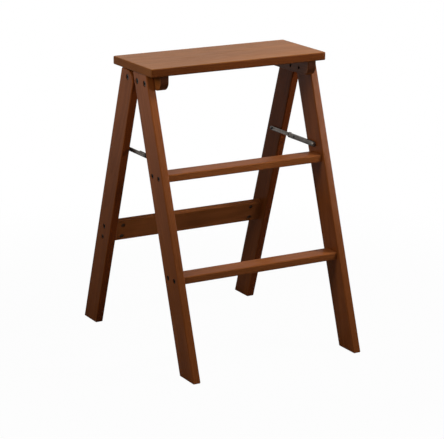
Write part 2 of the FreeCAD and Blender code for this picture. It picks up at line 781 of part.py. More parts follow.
def make_all():
    """Build every piece of the stool."""
    make_top_board()
    make_cleat()
    make_front_leg()
    make_rear_leg()
    make_cross_board("upper_tread", "tread_depth", "leg_inner", "upper_tread_depth",
                     "upper_tread_middle")
    make_cross_board("lower_tread", "tread_depth", "leg_inner", "lower_tread_depth",
                     "lower_tread_middle")
    make_cross_board("rear_stretcher", "stretcher_width", "rear_leg_inner",
                     "stretcher_depth", "stretcher_height", "stretcher_turn")
    make_pivot_bolt()
    make_pivot_washer()
    make_front_link()
    make_rear_link()
    make_rivet_half("rivet_head", "front_link_face", "-", "", "rivet_head",
                    "rivet_head_height")
    make_rivet_half("rivet_tail", "rear_link_face + stay_thickness", "", "-",
                    "rivet_head", "rivet_tail_height")

    leg_bolt = make_bolt("leg_bolt", "leg_bolt_head", "leg_bolt_head_height",
                         "leg_bolt_length")
    tread_bolt = make_bolt("tread_bolt", "tread_bolt_head", "tread_bolt_head_height",
                           "tread_bolt_length")
    sleeve_nut = make_sleeve_nut("sleeve_nut")
    barrel_nut = make_barrel_nut("barrel_nut")
    cleat_screw = make_cleat_screw("cleat_screw")
    stay_screw = make_stay_screw("stay_screw")
    front_spacer = make_spacer("front_spacer", "front_spacer_face", "leg_inner")
    rear_spacer = make_spacer("rear_spacer", "rear_spacer_face", "rear_leg_inner")

    front_head = "leg_outer - head_recess"
    rear_head = "rear_leg_outer - head_recess"
    tread_nut = "leg_inner - barrel_nut_inset"
    rear_nut = "rear_leg_inner - barrel_nut_inset"
    group(leg_bolt, "leg_bolts", [(front_head, y, z) for y, z in FRONT_BOLTS])
    group(sleeve_nut, "sleeve_nuts",
          [("cleat_inner + sleeve_nut_recess", y, z) for y, z in FRONT_BOLTS + [PIVOT]])
    group(tread_bolt, "upper_tread_bolts", [(front_head, y, z) for y, z in UPPER_BOLTS])
    group(barrel_nut, "upper_tread_nuts", [(tread_nut, y, z) for y, z in UPPER_BOLTS])
    group(tread_bolt, "lower_tread_bolts", [(front_head, y, z) for y, z in LOWER_BOLTS])
    group(barrel_nut, "lower_tread_nuts", [(tread_nut, y, z) for y, z in LOWER_BOLTS])
    group(tread_bolt, "stretcher_bolts", [(rear_head, y, z) for y, z in STRETCHER_BOLTS])
    group(barrel_nut, "stretcher_nuts", [(rear_nut, y, z) for y, z in STRETCHER_BOLTS],
          "stretcher_turn")
    group(cleat_screw, "cleat_screws",
          [("cleat_middle", "board_middle + (%s)" % y, "cleat_bottom") for y in CLEAT_SCREWS])
    group(stay_screw, "stay_front_screws", [("front_screw_seat", *FRONT_STAY_SCREW)])
    group(stay_screw, "stay_rear_screws", [("rear_screw_seat", *REAR_STAY_SCREW)])
    group(front_spacer, "stay_front_spacers", [("front_spacer_face", *FRONT_STAY_SCREW)])
    group(rear_spacer, "stay_rear_spacers", [("rear_spacer_face", *REAR_STAY_SCREW)])


def check_and_write():
    """Check every object and shape, then write one file for each piece."""
    doc.recompute()
    for item in doc.Objects:
        if "Invalid" in item.State or "Error" in item.State:
            raise RuntimeError("%s failed: %s" % (item.Label, item.State))
    for item in nodes:
        if item.Shape.isNull() or not item.Shape.isValid() or not item.Shape.Solids:
            raise RuntimeError("%s has no valid solid" % item.Label)
    os.makedirs("parts", exist_ok=True)
    for item in nodes:
        item.Shape.exportStep(os.path.join("parts", item.Label + ".step"))
        print("%s: %d solids, %.0f mm3" % (item.Label, len(item.Shape.Solids), item.Shape.Volume))
    print("rear lean %.3f, fold %.3f degrees" % (places.rear_lean, places.fold_angle))
    print("pivot at y %.3f, z %.3f" % (places.pivot_depth, places.pivot_height))
    print("stay screws at y %.3f and %.3f, links %.3f and %.3f long" % (
        places.stay_front_depth, places.stay_rear_depth,
        places.front_link_length, places.rear_link_length))


make_all()
check_and_write()
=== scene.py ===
"""Looks of the folding step stool: stained wood, plated hardware, floor, lamps and camera."""
import json
import logging
import math
from collections.abc import Callable, Iterable
from dataclasses import dataclass
from enum import Enum

import bpy
from mathutils import Matrix, Vector


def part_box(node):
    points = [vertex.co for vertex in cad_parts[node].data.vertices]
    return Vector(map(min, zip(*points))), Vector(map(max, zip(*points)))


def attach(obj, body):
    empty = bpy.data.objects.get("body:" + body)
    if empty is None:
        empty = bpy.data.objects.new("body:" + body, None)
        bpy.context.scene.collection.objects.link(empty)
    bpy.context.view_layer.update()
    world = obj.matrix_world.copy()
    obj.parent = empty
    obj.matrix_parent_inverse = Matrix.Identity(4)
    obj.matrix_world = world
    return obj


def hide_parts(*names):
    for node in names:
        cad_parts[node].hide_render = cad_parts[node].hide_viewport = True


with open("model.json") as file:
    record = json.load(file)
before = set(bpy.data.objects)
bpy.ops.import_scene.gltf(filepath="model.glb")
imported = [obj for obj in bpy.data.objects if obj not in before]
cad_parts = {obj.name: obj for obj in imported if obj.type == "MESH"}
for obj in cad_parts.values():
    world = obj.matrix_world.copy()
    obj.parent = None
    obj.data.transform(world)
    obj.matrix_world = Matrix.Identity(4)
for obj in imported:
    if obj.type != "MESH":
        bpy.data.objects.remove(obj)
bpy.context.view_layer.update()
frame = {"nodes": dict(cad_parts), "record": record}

log = logging.getLogger("step_stool")

Colour = tuple[float, float, float]
Spot = tuple[float, float, float]
Profile = list[tuple[float, float]]

# Lengths in metres: a millimetre, and a length that is as good as none
MM = 0.001
TINY = 0.01 * MM

LATHE_SIDES = 48
SHARP_ANGLE = math.radians(35)
SMOOTH_ANGLE = math.radians(38)
WHITE = (1.0, 1.0, 1.0, 1.0)


class Side(Enum):
    """The two sides of the stool, each with the sign of its X places."""

    RIGHT = 1
    LEFT = -1

    @property
    def word(self) -> str:
        """The side's name as the nodes spell it."""
        return self.name.lower()


class Body(Enum):
    """The stool's two frames, as the bodies that their bolts and screws ride on."""

    FRONT = "front_frame"
    REAR = "rear_frame"


class Grain(Enum):
    """Which way a wooden piece's grain runs, as the turn that lays it along X."""

    ACROSS = (0.0, 0.0, 0.0)
    DEPTH = (0.0, 0.0, -90.0)
    FRONT_LEG = (18.5, 90.0, 0.0)
    REAR_LEG = (-18.34, 90.0, 0.0)
    STRETCHER = (71.66, 0.0, 0.0)


# Workshop: meshes


def deselect() -> None:
    """Leave object mode with nothing selected."""
    if bpy.context.mode != "OBJECT":
        bpy.ops.object.mode_set(mode="OBJECT")
    bpy.ops.object.select_all(action="DESELECT")


def pick(*objects: bpy.types.Object) -> None:
    """Select objects and make the first one active.

    Args:
        objects: The objects to select.
    """
    deselect()
    for item in objects:
        item.select_set(True)
    bpy.context.view_layer.objects.active = objects[0]


def settle(piece: bpy.types.Object, name: str) -> bpy.types.Object:
    """Name a piece and write its place into its mesh.

    Args:
        piece: The piece to settle.
        name: The name it gets.

    Returns:
        The same piece, with its object at the origin.
    """
    pick(piece)
    bpy.ops.object.transform_apply(location=True, rotation=True, scale=True)
    piece.name = name
    piece.data.name = name
    return piece


def apply_modifier(piece: bpy.types.Object, kind: str, **settings: object) -> None:
    """Add a modifier, set it and apply it.

    Args:
        piece: The piece to change.
        kind: The modifier's type, such as BEVEL.
        settings: The modifier's own settings.
    """
    pick(piece)
    modifier = piece.modifiers.new(kind.title(), kind)
    for key, value in settings.items():
        setattr(modifier, key, value)
    bpy.ops.object.modifier_apply(modifier=modifier.name)


def cut_with(piece: bpy.types.Object, cutter: bpy.types.Object,
             operation: str = "DIFFERENCE") -> None:
    """Cut one piece with another, or fuse the two, and remove the other.

    Args:
        piece: The piece that is kept.
        cutter: The piece that cuts, which is removed.
        operation: DIFFERENCE or UNION.
    """
    apply_modifier(piece, "BOOLEAN", operation=operation, object=cutter,
                   solver="EXACT", use_self=True)
    bpy.data.objects.remove(cutter)


def break_edges(piece: bpy.types.Object, width: float, segments: int = 2) -> None:
    """Round every sharp edge of a piece a little and smooth its shading.

    Args:
        piece: The piece to finish.
        width: The width of the rounding, in metres.
        segments: How many faces the rounding has.
    """
    apply_modifier(piece, "BEVEL", width=width, segments=segments,
                   limit_method="ANGLE", angle_limit=SHARP_ANGLE)
    pick(piece)
    bpy.ops.object.shade_smooth_by_angle(angle=SMOOTH_ANGLE)


def bevel_edges(piece: bpy.types.Object, chosen: Callable[[Vector, Vector], bool],
                width: float, segments: int) -> None:
    """Round the edges whose two ends pass a test.

    Args:
        piece: The piece to change.
        chosen: Says of an edge's two ends whether the edge is rounded.
        width: The width of the rounding, in metres.
        segments: How many faces the rounding has.
    """
    pick(piece)
    bpy.ops.object.mode_set(mode="EDIT")
    bpy.ops.mesh.select_all(action="DESELECT")
    bpy.ops.object.mode_set(mode="OBJECT")
    for edge in piece.data.edges:
        edge.select = chosen(*[piece.data.vertices[index].co for index in edge.vertices])
    bpy.ops.object.mode_set(mode="EDIT")
    bpy.ops.mesh.select_mode(type="EDGE")
    bpy.ops.mesh.bevel(offset=width, segments=segments, affect="EDGES")
    bpy.ops.object.mode_set(mode="OBJECT")


def quarter_turns(steps: int) -> list[float]:
    """List the angles from 0 to a quarter turn in equal steps.

    Args:
        steps: How many steps there are.

    Returns:
        The angles, in radians.
    """
    return [math.pi / 2 * step / steps for step in range(steps + 1)]


def turn_on_lathe(profile: Profile) -> bpy.types.Object:
    """Turn a closed piece about the X axis from its profile.

    Args:
        profile: Places along X and radii, in metres, from one end to the other. An end
            with a radius of nothing closes to a point.

    Returns:
        The turned piece.
    """
    rings = [(x, max(radius, TINY)) for x, radius in profile]
    deselect()
    bpy.ops.mesh.primitive_circle_add(vertices=LATHE_SIDES, radius=rings[0][1],
                                      location=(rings[0][0], 0, 0),
                                      rotation=(0, math.pi / 2, 0))
    piece = bpy.context.active_object
    bpy.ops.object.transform_apply(location=True, rotation=True, scale=True)
    bpy.ops.object.mode_set(mode="EDIT")
    bpy.ops.mesh.select_all(action="SELECT")
    for (x, radius), (next_x, next_radius) in zip(rings, rings[1:]):
        bpy.ops.mesh.extrude_region_move(
            TRANSFORM_OT_translate={"value": (next_x - x, 0, 0)})
        grow = next_radius / radius
        bpy.ops.transform.resize(value=(1, grow, grow), center_override=(next_x, 0, 0))
    bpy.ops.mesh.select_all(action="SELECT")
    bpy.ops.mesh.remove_doubles(threshold=3 * TINY)
    bpy.ops.mesh.normals_make_consistent(inside=False)
    bpy.ops.object.mode_set(mode="OBJECT")
    return piece


def mark_turning(piece: bpy.types.Object) -> None:
    """Keep each point's distance from the X axis, which the lathe marks follow.

    Args:
        piece: A turned piece whose axis is still the X axis.
    """
    marks = piece.data.attributes.new("turning", "FLOAT", "POINT")
    for vertex, mark in zip(piece.data.vertices, marks.data):
        mark.value = math.hypot(vertex.co.y, vertex.co.z)


def prism(width: float, depth: float, sides: int = 6) -> bpy.types.Object:
    """Make a cutter about the X axis with flat sides, measured across its flats.

    Args:
        width: The distance across the flats, in metres.
        depth: How far it reaches each way from the origin, in metres.
        sides: How many sides it has.

    Returns:
        The cutter.
    """
    deselect()
    radius = width / 2 / math.cos(math.pi / sides)
    bpy.ops.mesh.primitive_cylinder_add(vertices=sides, radius=radius, depth=2 * depth,
                                        rotation=(0, math.pi / 2, 0))
    return bpy.context.active_object


def block(low: Iterable[float], high: Iterable[float]) -> bpy.types.Object:
    """Make a box between two corners.

    Args:
        low: Its lowest corner, in metres.
        high: Its highest corner, in metres.

    Returns:
        The box.
    """
    low, high = Vector(low), Vector(high)
    deselect()
    bpy.ops.mesh.primitive_cube_add(size=1, location=(low + high) / 2)
    piece = bpy.context.active_object
    piece.scale = high - low
    bpy.ops.object.transform_apply(location=True, rotation=True, scale=True)
    return piece


def set_copies(pattern: bpy.types.Object, places: Iterable[Matrix],
               name: str) -> bpy.types.Object:
    """Set copies of a pattern at places and join them into one piece.

    Args:
        pattern: The piece to copy, which is removed.
        places: Where each copy goes.
        name: The name of the joined piece.

    Returns:
        The joined piece.
    """
    copies = []
    for place in places:
        item = pattern.copy()
        item.data = pattern.data.copy()
        item.data.transform(place)
        bpy.context.scene.collection.objects.link(item)
        copies.append(item)
    bpy.data.objects.remove(pattern)
    pick(*copies)
    if len(copies) > 1:
        bpy.ops.object.join()
    return settle(copies[0], name)


def solids_of(node: str) -> list[tuple[Vector, Vector]]:
    """Find the box of each solid in a node of the frame.

    Args:
        node: The node's name.

    Returns:
        The lowest and highest corner of each solid, in order of place.
    """
    weld = 0.001 * MM
    deselect()
    source = frame["nodes"][node]
    copy = source.copy()
    copy.data = source.data.copy()
    copy.parent = None
    bpy.context.scene.collection.objects.link(copy)
    pick(copy)
    bpy.ops.object.mode_set(mode="EDIT")
    bpy.ops.mesh.select_all(action="SELECT")
    bpy.ops.mesh.remove_doubles(threshold=weld)
    bpy.ops.mesh.separate(type="LOOSE")
    bpy.ops.object.mode_set(mode="OBJECT")
    loose = list(bpy.context.selected_objects)
    boxes = []
    for item in loose:
        corners = [vertex.co for vertex in item.data.vertices]
        low = Vector([min(corner[axis] for corner in corners) for axis in range(3)])
        high = Vector([max(corner[axis] for corner in corners) for axis in range(3)])
        boxes.append((low, high))
        bpy.data.objects.remove(item)
    return sorted(boxes, key=lambda box: tuple(round(value, 5) for value in box[0]))


def facing_out(face: float, box: tuple[Vector, Vector]) -> Matrix:
    """Place a pattern whose head faces +X on the axis of a solid, facing outwards.

    Args:
        face: How far from the YZ plane the pattern's origin goes, in metres.
        box: The solid's box.

    Returns:
        The place of the pattern.
    """
    middle = (box[0] + box[1]) / 2
    sign = math.copysign(1, middle.x)
    turn = Matrix.Rotation(0 if sign > 0 else math.pi, 4, "Z")
    return Matrix.Translation((sign * face, middle.y, middle.z)) @ turn


# Workshop: materials


class NodeBench:
    """Adds, sets and wires the nodes of one shader tree."""

    def __init__(self, owner: bpy.types.Material | bpy.types.World) -> None:
        """Empty the tree of a new material or world.

        Args:
            owner: The material or world.
        """
        self.owner = owner
        owner.use_nodes = True
        self.tree = owner.node_tree
        self.tree.nodes.clear()

    def add(self, kind: str, inputs: dict[str | int, object] | None = None,
            **settings: object) -> bpy.types.Node:
        """Add a node.

        Args:
            kind: The node's type, without the leading words ShaderNode.
            inputs: Values or sockets for its inputs, by name or number.
            settings: Its own settings.

        Returns:
            The new node.
        """
        node = self.tree.nodes.new("ShaderNode" + kind)
        for key, value in settings.items():
            setattr(node, key, value)
        for key, value in (inputs or {}).items():
            if isinstance(value, bpy.types.NodeSocket):
                self.tree.links.new(value, node.inputs[key])
            else:
                node.inputs[key].default_value = value
        return node

    def calculate(self, operation: str, *values: object,
                  clamp: bool = False) -> bpy.types.NodeSocket:
        """Add a Math node.

        Args:
            operation: The node's operation.
            values: Its numbers or sockets.
            clamp: Whether the result stays from 0 to 1.

        Returns:
            The result.
        """
        node = self.add("Math", dict(enumerate(values)), operation=operation,
                        use_clamp=clamp)
        return node.outputs[0]

    def noise(self, place: object, scale: float, detail: float = 2.0,
              roughness: float = 0.5) -> bpy.types.NodeSocket:
        """Add a noise.

        Args:
            place: The socket with its coordinates.
            scale: How fine it is.
            detail: How many finer layers it has.
            roughness: How strong these are.

        Returns:
            The noise, mostly from 0.3 to 0.7.
        """
        node = self.add("TexNoise", {"Vector": place, "Scale": scale, "Detail": detail,
                                     "Roughness": roughness})
        return node.outputs["Fac"]

    def stretch(self, place: object, scale: Spot, shift: Spot = (0, 0, 0),
                turn: Spot = (0, 0, 0)) -> bpy.types.NodeSocket:
        """Move, turn and stretch coordinates.

        Args:
            place: The socket with the coordinates.
            scale: The factors along X, Y and Z.
            shift: What is added after the turn.
            turn: The turn about X, then Y, then Z, in degrees.

        Returns:
            The changed coordinates.
        """
        angles = tuple(math.radians(angle) for angle in turn)
        node = self.add("Mapping", {"Vector": place, "Location": shift,
                                    "Rotation": angles, "Scale": scale})
        return node.outputs[0]

    def level(self, value: object, low: float, high: float, new_low: float = 0.0,
              new_high: float = 1.0) -> bpy.types.NodeSocket:
        """Map a range of values smoothly to another range and hold the ends.

        Args:
            value: The socket to map.
            low: The value that gives new_low.
            high: The value that gives new_high.
            new_low: The first result.
            new_high: The last result.

        Returns:
            The mapped value.
        """
        node = self.add("MapRange", {"Value": value, "From Min": low, "From Max": high,
                                     "To Min": new_low, "To Max": new_high},
                        interpolation_type="SMOOTHSTEP")
        return node.outputs[0]

    def blend(self, share: object, first: object, second: object,
              mode: str = "MIX") -> bpy.types.NodeSocket:
        """Mix two colours.

        Args:
            share: How much of the second is used.
            first: The first colour or socket.
            second: The second colour or socket.
            mode: How they are mixed.

        Returns:
            The mixed colour.
        """
        node = self.add("Mix", data_type="RGBA", blend_type=mode)
        for key, value in (("Factor_Float", share), ("A_Color", first), ("B_Color", second)):
            socket = next(item for item in node.inputs if item.identifier == key)
            if isinstance(value, bpy.types.NodeSocket):
                self.tree.links.new(value, socket)
            elif key == "Factor_Float":
                socket.default_value = value
            else:
                socket.default_value = (*value, 1.0)
        return next(item for item in node.outputs if item.identifier == "Result_Color")

    def white_rays(self) -> tuple[bpy.types.NodeSocket, bpy.types.NodeSocket]:
        """Find the rays that see plain white.

        Returns:
            1 for the camera's own rays, and 1 for rays mirrored by metal and gloss.
        """
        rays = self.add("LightPath").outputs
        mirrored = self.calculate("MAXIMUM", rays["Is Glossy Ray"], rays["Is Transmission Ray"])
        return rays["Is Camera Ray"], mirrored

    def surface(self, colour: object, roughness: object, height: object, depth: float,
                **fixed: float) -> bpy.types.Material:
        """Finish the material with a shader and a bump.

        Args:
            colour: The socket with its colour.
            roughness: The socket with its roughness.
            height: The socket with its relief.
            depth: How deep the relief is, in metres.
            fixed: Further values of the shader, the same all over.

        Returns:
            The material.
        """
        bump = self.add("Bump", {"Height": height, "Distance": depth, "Strength": 1.0})
        shader = self.add("BsdfPrincipled", {"Base Color": colour, "Roughness": roughness,
                                             "Normal": bump.outputs[0]})
        for key, value in fixed.items():
            shader.inputs[key].default_value = value
        self.add("OutputMaterial", {"Surface": shader.outputs[0]})
        return self.owner


@dataclass(frozen=True)
class StainedWood:
    """Fine-grained wood with a walnut-brown stain under a satin lacquer.

    The pattern is solid: growth rings about a pith line, so a board shows long figure on
    its faces, close lines on its edges and arcs on its ends. The tint is painted shade that
    darkens faces to the front and the back. The scales are how fine a pattern is along the
    grain and across it, and the shares are how strongly each one changes the stain.
    """

    early: Colour = (0.236, 0.065, 0.013)
    late: Colour = (0.170, 0.043, 0.008)
    fibre_dark: Colour = (0.087, 0.019, 0.003)
    # painted shade: the colour that faces to the front and the back are multiplied by
    painted_shade_tint: Colour = (1.0, 1.0, 1.0)
    gloss: float = 0.33
    end_dullness: float = 0.15
    lacquer: float = 1.12
    relief: float = 0.05 * MM
    ring_width: float = 3.4 * MM
    ring_sway: float = 27.0 * MM
    ring_waver: float = 2.04 * MM
    sway_scale: Spot = (1.5, 7, 7)
    waver_scale: Spot = (7, 90, 90)
    fibre_scale: Spot = (22, 620, 620)
    pore_scale: Spot = (95, 2300, 2300)
    cloud_scale: Spot = (2.6, 16, 16)
    late_share: float = 0.40
    fibre_share: float = 0.28
    pore_share: float = 0.40
    end_share: float = 0.50
    worn_share: float = 0.12
    cloud_dark: float = 0.86
    cloud_light: float = 1.13

    def material(self, name: str, grain: Grain, pith: tuple[float, float],
                 along: float) -> bpy.types.Material:
        """Make the finish for one piece.

        Args:
            name: The piece's name.
            grain: Which way its grain runs.
            pith: The pith line's place across the piece's width and thickness, in metres.
            along: A shift along the grain that gives the piece its own figure, in metres.

        Returns:
            The material.
        """
        bench = NodeBench(bpy.data.materials.new("stained_wood_" + name))
        source = bench.add("TexCoord").outputs
        shift = (along, -pith[0], -pith[1])
        grained = bench.stretch(source["Object"], (1, 1, 1), shift, grain.value)
        facing = bench.stretch(source["Normal"], (1, 1, 1), turn=grain.value)

        ring = self._rings(bench, grained)
        fibre = bench.noise(bench.stretch(grained, self.fibre_scale), 1.0, 4.0, 0.62)
        fleck = bench.noise(bench.stretch(grained, self.pore_scale), 1.0, 2.0, 0.5)
        cloud = bench.noise(bench.stretch(grained, self.cloud_scale), 1.0, 3.0, 0.55)
        end, side, edge = self._faces(bench, facing)
        late = bench.level(ring, 0.0, 1.0, 0.0, self.late_share)
        fibres = bench.level(fibre, 0.44, 0.70, 0.0, self.fibre_share)
        pores = bench.level(fleck, 0.60, 0.74, 0.0, self.pore_share)
        tone = bench.level(cloud, 0.30, 0.70, self.cloud_dark, self.cloud_light)
        worn = bench.calculate("MULTIPLY", edge,
                               bench.level(cloud, 0.35, 0.62, 0.0, self.worn_share))

        colour = bench.blend(late, self.early, self.late)
        colour = bench.blend(fibres, colour, self.fibre_dark)
        colour = bench.blend(pores, colour, self.fibre_dark)
        grey = bench.add("CombineColor", {0: tone, 1: tone, 2: tone}).outputs[0]
        colour = bench.blend(1.0, colour, grey, "MULTIPLY")
        # painted shade: faces along Y are darkened by the tint, as if less light fell on them
        tint = bench.blend(side, WHITE[:3], self.painted_shade_tint)
        colour = bench.blend(1.0, colour, tint, "MULTIPLY")
        dark_end = bench.calculate("MULTIPLY", end, self.end_share)
        colour = bench.blend(dark_end, colour, self.fibre_dark)
        colour = bench.blend(worn, colour, self.early)

        uneven = bench.level(fibre, 0.35, 0.70, -0.05, 0.07)
        dull = bench.level(end, 0.0, 1.0, self.gloss, self.gloss + self.end_dullness)
        roughness = bench.calculate("ADD", uneven, dull)
        height = bench.calculate("SUBTRACT", bench.calculate("MULTIPLY", fibre, 0.7), pores)
        return bench.surface(colour, roughness, height, self.relief, IOR=self.lacquer)

    def _rings(self, bench: NodeBench, grained: object) -> bpy.types.NodeSocket:
        """Shade the growth rings.

        Args:
            bench: The tree being made.
            grained: Coordinates with the grain along X and the pith on the X axis.

        Returns:
            The ring's shade, rising through each year's growth and falling sharply.
        """
        parts = bench.add("SeparateXYZ", {0: grained})
        across = bench.calculate("POWER", parts.outputs[1], 2.0)
        through = bench.calculate("POWER", parts.outputs[2], 2.0)
        radius = bench.calculate("SQRT", bench.calculate("ADD", across, through))
        for scale, reach in ((self.sway_scale, self.ring_sway),
                             (self.waver_scale, self.ring_waver)):
            warp = bench.noise(bench.stretch(grained, scale), 1.0, 2.0)
            radius = bench.calculate("ADD", radius, bench.calculate("MULTIPLY", warp, reach))
        year = bench.calculate("FRACT", bench.calculate("DIVIDE", radius, self.ring_width))
        rise = bench.level(year, 0.15, 0.85)
        fall = bench.level(year, 0.88, 1.0)
        return bench.calculate("SUBTRACT", rise, fall, clamp=True)

    def _faces(self, bench: NodeBench, facing: object) -> list[bpy.types.NodeSocket]:
        """Tell the faces of a board apart by the way that they face.

        Args:
            bench: The tree being made.
            facing: The surface's direction with the grain along X.

        Returns:
            How much a point is end grain, how much it faces along Y, and how much it is on
            a rounded edge.
        """
        parts = bench.add("SeparateXYZ", {0: facing})
        sizes = [bench.calculate("ABSOLUTE", parts.outputs[axis]) for axis in range(3)]
        most = bench.calculate("MAXIMUM", sizes[0], bench.calculate("MAXIMUM", *sizes[1:]))
        end = bench.level(sizes[0], 0.45, 0.85)
        side = bench.level(sizes[1], 0.5, 0.9)
        return [end, side, bench.level(most, 0.97, 0.80)]


@dataclass(frozen=True)
class PlatedSteel:
    """Steel with a thin plating, a little uneven in colour and gloss.

    Turned pieces also have fine rings from the lathe. Their rate is in radians of a wave
    for each metre of radius.
    """

    colour: Colour
    worn: Colour
    gloss: float
    brushed: Spot = (900, 900, 900)
    turned: bool = False
    haze_scale: float = 120.0
    lathe_rate: float = 21000.0
    lathe_share: float = 0.12
    relief: float = 0.012 * MM

    def material(self, name: str) -> bpy.types.Material:
        """Make the finish.

        Args:
            name: What the finish is used on.

        Returns:
            The material.
        """
        bench = NodeBench(bpy.data.materials.new("plated_steel_" + name))
        place = bench.add("TexCoord").outputs["Object"]
        haze = bench.noise(place, self.haze_scale, 3.0)
        lines = bench.noise(bench.stretch(place, self.brushed), 1.0, 3.0, 0.6)
        if self.turned:
            radius = bench.add("Attribute", attribute_name="turning").outputs["Fac"]
            wave = bench.calculate("SINE", bench.calculate("MULTIPLY", radius, self.lathe_rate))
            rings = bench.calculate("MULTIPLY", wave, self.lathe_share)
            lines = bench.calculate("ADD", rings, lines)
        colour = bench.blend(bench.level(haze, 0.38, 0.66), self.colour, self.worn)
        roughness = bench.level(lines, 0.3, 0.7, self.gloss - 0.07, self.gloss + 0.09)
        return bench.surface(colour, roughness, lines, self.relief, Metallic=1.0)


# The stool


@dataclass(frozen=True)
class Board:
    """One wooden node: its finish, its grain, and its place in the log."""

    node: str
    finish: StainedWood
    grain: Grain
    pith: tuple[float, float]
    along: float


@dataclass
class Timber:
    """The wooden pieces, which keep their shape and get their stain and lacquer."""

    # painted shade: the rear legs' front and back faces are darkened, as the front legs shade
    # them
    rear_finish: StainedWood = StainedWood(painted_shade_tint=(0.72, 0.56, 0.50))
    front_finish: StainedWood = StainedWood(lacquer=1.15)
    # painted light: a lighter copy of the stain, making up for the board's shade on the treads
    # and the stretcher
    brightened_tread_finish: StainedWood = StainedWood(
        early=(0.275, 0.086, 0.024), late=(0.200, 0.058, 0.014),
        fibre_dark=(0.105, 0.027, 0.007), lacquer=1.06)
    # partly painted light: the top's stain is lighter and yellower than the frame's, partly its
    # own tone and partly painted light and sheen; its front and back edges carry painted shade
    top_finish: StainedWood = StainedWood(
        early=(0.272, 0.096, 0.018), late=(0.201, 0.066, 0.011),
        fibre_dark=(0.120, 0.034, 0.013), gloss=0.40, lacquer=1.12,
        painted_shade_tint=(0.51, 0.38, 0.39))
    # painted shade: a darker copy of the stain, with darker ends, for the cleats in the shade
    # under the board
    cleat_finish: StainedWood = StainedWood(
        early=(0.220, 0.068, 0.014), late=(0.160, 0.046, 0.008),
        fibre_dark=(0.040, 0.009, 0.002), lacquer=1.16, end_share=0.92)

    def boards(self) -> list[Board]:
        """List the wooden pieces, each cut from another part of the log."""
        tread = self.brightened_tread_finish
        boards = [
            Board("top_board", self.top_finish, Grain.ACROSS, (0.018, 0.560), 0.00),
            Board("upper_tread", tread, Grain.ACROSS, (-0.125, 0.335), 0.90),
            Board("lower_tread", tread, Grain.ACROSS, (-0.150, 0.265), 1.70),
            Board("rear_stretcher", tread, Grain.STRETCHER, (-0.17, 0.32), 2.60),
        ]
        for number, side in enumerate(Side):
            boards.append(Board("cleat_" + side.word, self.cleat_finish, Grain.DEPTH,
                                (0.03, 0.52), 3.3 + number))
            boards.append(Board("front_leg_" + side.word, self.front_finish, Grain.FRONT_LEG,
                                (-0.235 + 0.04 * number, -side.value * 0.275), 5.1 + number))
            boards.append(Board("rear_leg_" + side.word, self.rear_finish, Grain.REAR_LEG,
                                (0.195 + 0.03 * number, -side.value * 0.145), 7.7 + number))
        return boards

    def dress(self) -> None:
        """Give every wooden piece its own stained and lacquered material."""
        for board in self.boards():
            material = board.finish.material(board.node, board.grain, board.pith, board.along)
            slots = frame["nodes"][board.node].data.materials
            slots.clear()
            slots.append(material)
            log.info("%s dressed in stained wood", board.node)


@dataclass
class SocketBolt:
    """A socket-head bolt: a turned head with a hexagon socket, and its shank."""

    node: str
    name: str
    body: Body
    head: float
    head_height: float
    shank: float
    shoulder: float = 0.0
    shoulder_length: float = 0.0
    socket: float = 5.0 * MM
    socket_depth: float = 2.5 * MM
    corner: float = 0.6 * MM
    tip: float = 0.8 * MM
    edge: float = 0.12 * MM

    def pattern(self, length: float) -> bpy.types.Object:
        """Model one bolt along X, with the top of its head at the origin.

        Args:
            length: The bolt's whole length, in metres.

        Returns:
            The bolt.
        """
        head, shank = self.head / 2, self.shank / 2
        neck = self.shoulder / 2 or shank
        neck_end = self.head_height + self.shoulder_length
        crown = 0.3 * self.corner
        bolt = turn_on_lathe([
            (0.0, 0.0), (0.0, head - self.corner), (-crown, head - crown),
            (-self.corner, head), (-self.head_height, head), (-self.head_height, neck),
            (-neck_end, neck), (-neck_end, shank), (-length + self.tip, shank),
            (-length, shank - self.tip), (-length, 0.0)])
        cut_with(bolt, prism(self.socket, self.socket_depth))
        break_edges(bolt, self.edge)
        mark_turning(bolt)
        return bolt

    def build(self, finish: bpy.types.Material) -> None:
        """Set the bolts where the node has them and put them on their body.

        Args:
            finish: The bolts' material.
        """
        boxes = solids_of(self.node)
        length = boxes[0][1].x - boxes[0][0].x
        face = max(abs(boxes[0][0].x), abs(boxes[0][1].x))
        piece = set_copies(self.pattern(length), [facing_out(face, box) for box in boxes],
                           self.name)
        piece.data.materials.append(finish)
        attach(piece, self.body.value)
        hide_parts(self.node)
        log.info("%s: %d bolts, %.1f mm long", self.name, len(boxes), length / MM)


@dataclass
class Bolts:
    """Every bolt with its head in view: leg bolts, tread bolts and hinge bolts."""

    leg_head: float = 12 * MM
    leg_head_height: float = 4 * MM
    tread_head: float = 10 * MM
    tread_head_height: float = 5.5 * MM
    shank: float = 6 * MM
    shoulder: float = 8 * MM

    def build(self) -> None:
        """Model and place the bolts."""
        # partly painted shade: a dark plating, made near-black and brownish to stand for the
        # shade in the counterbores
        dark = PlatedSteel(colour=(0.015, 0.009, 0.006), worn=(0.043, 0.030, 0.021),
                           gloss=0.34, turned=True)
        finish = dark.material("bolts")
        for node, body in (("upper_tread_bolts", Body.FRONT), ("lower_tread_bolts", Body.FRONT),
                           ("stretcher_bolts", Body.REAR)):
            SocketBolt(node, node[:-1] + "_heads", body, self.tread_head,
                       self.tread_head_height, self.shank).build(finish)
        SocketBolt("leg_bolts", "leg_bolt_heads", Body.FRONT, self.leg_head,
                   self.leg_head_height, self.shank).build(finish)
        for side in Side:
            node = "pivot_bolt_" + side.word
            face = max(abs(corner.x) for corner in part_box(node))
            inner = min(abs(corner.x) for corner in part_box("pivot_washer_" + side.word))
            shoulder_length = face - inner - self.leg_head_height
            SocketBolt(node, "hinge_bolt_" + side.word, Body.FRONT, self.leg_head,
                       self.leg_head_height, self.shank, self.shoulder,
                       shoulder_length).build(finish)


